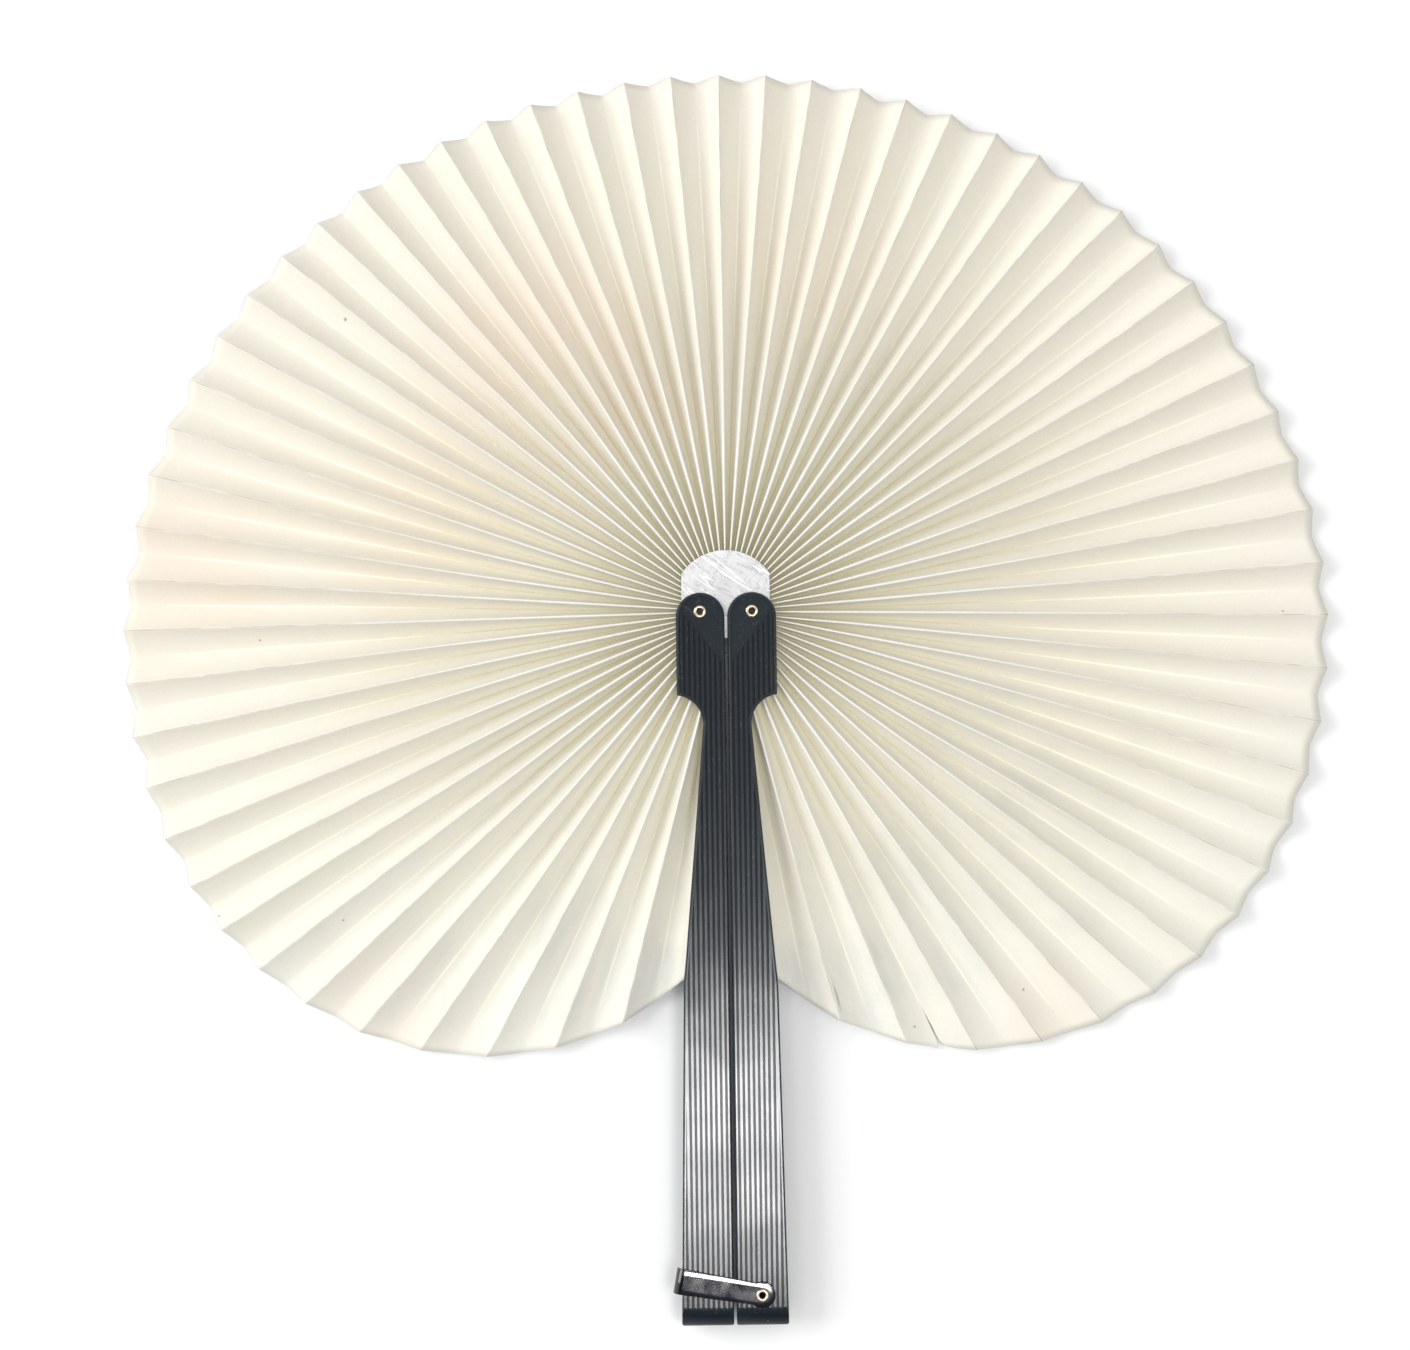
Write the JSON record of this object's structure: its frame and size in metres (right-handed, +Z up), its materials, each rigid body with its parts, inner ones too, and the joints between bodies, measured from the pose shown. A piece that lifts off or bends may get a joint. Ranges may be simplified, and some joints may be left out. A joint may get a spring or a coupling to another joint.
{
  "type": "folding cockade fan",
  "caption": "Round pleated paper pocket fan whose two ribbed plastic arms swing round to close over the folded leaf, with metal hub plates and a swing clasp.",
  "frame": {"origin": "on the table under the middle of the open fan's outline, without the clasp's tilt", "axes": "+Y from the foot of the arms to the top fold of the leaf, +X to the right as seen from above, +Z up from the table"},
  "size_m": [0.2514, 0.2606, 0.0097],
  "materials": {
    "cream_paper": "matte",
    "black_plastic": "satin",
    "silver_plate": "satin",
    "brass": "polished",
    "black_enamel": "gloss",
    "thread": "matte"
  },
  "bodies": {
    "hub": {"front_plate": "silver_plate", "back_plate": "silver_plate", "left_pivot_eyelet": "brass", "right_pivot_eyelet": "brass", "binding_thread": "thread", "paper_leaf": "cream_paper"},
    "left_arm": {"left_arm": "black_plastic"},
    "right_arm": {"right_arm": "black_plastic", "clasp_eyelet": "brass"},
    "clasp": {"clasp": "black_enamel"}
  },
  "joints": [
    {"name": "left_arm_swing", "type": "hinge", "parent": "hub", "child": "left_arm", "pos_m": [-0.0054, 0.01835, 0.0045], "axis": [0, 0, -1], "range_deg": [0, 179.7], "deforming": ["paper_leaf"]},
    {"name": "right_arm_swing", "type": "hinge", "parent": "hub", "child": "right_arm", "pos_m": [0.0054, 0.01835, 0.0045], "axis": [0, 0, 1], "range_deg": [0, 179.7], "deforming": ["paper_leaf"]},
    {"name": "clasp_swing", "type": "hinge", "parent": "right_arm", "child": "clasp", "pos_m": [0.0056, -0.12335, 0.00925], "axis": [0, 0, 1], "range_deg": [0, 190]}
  ]
}
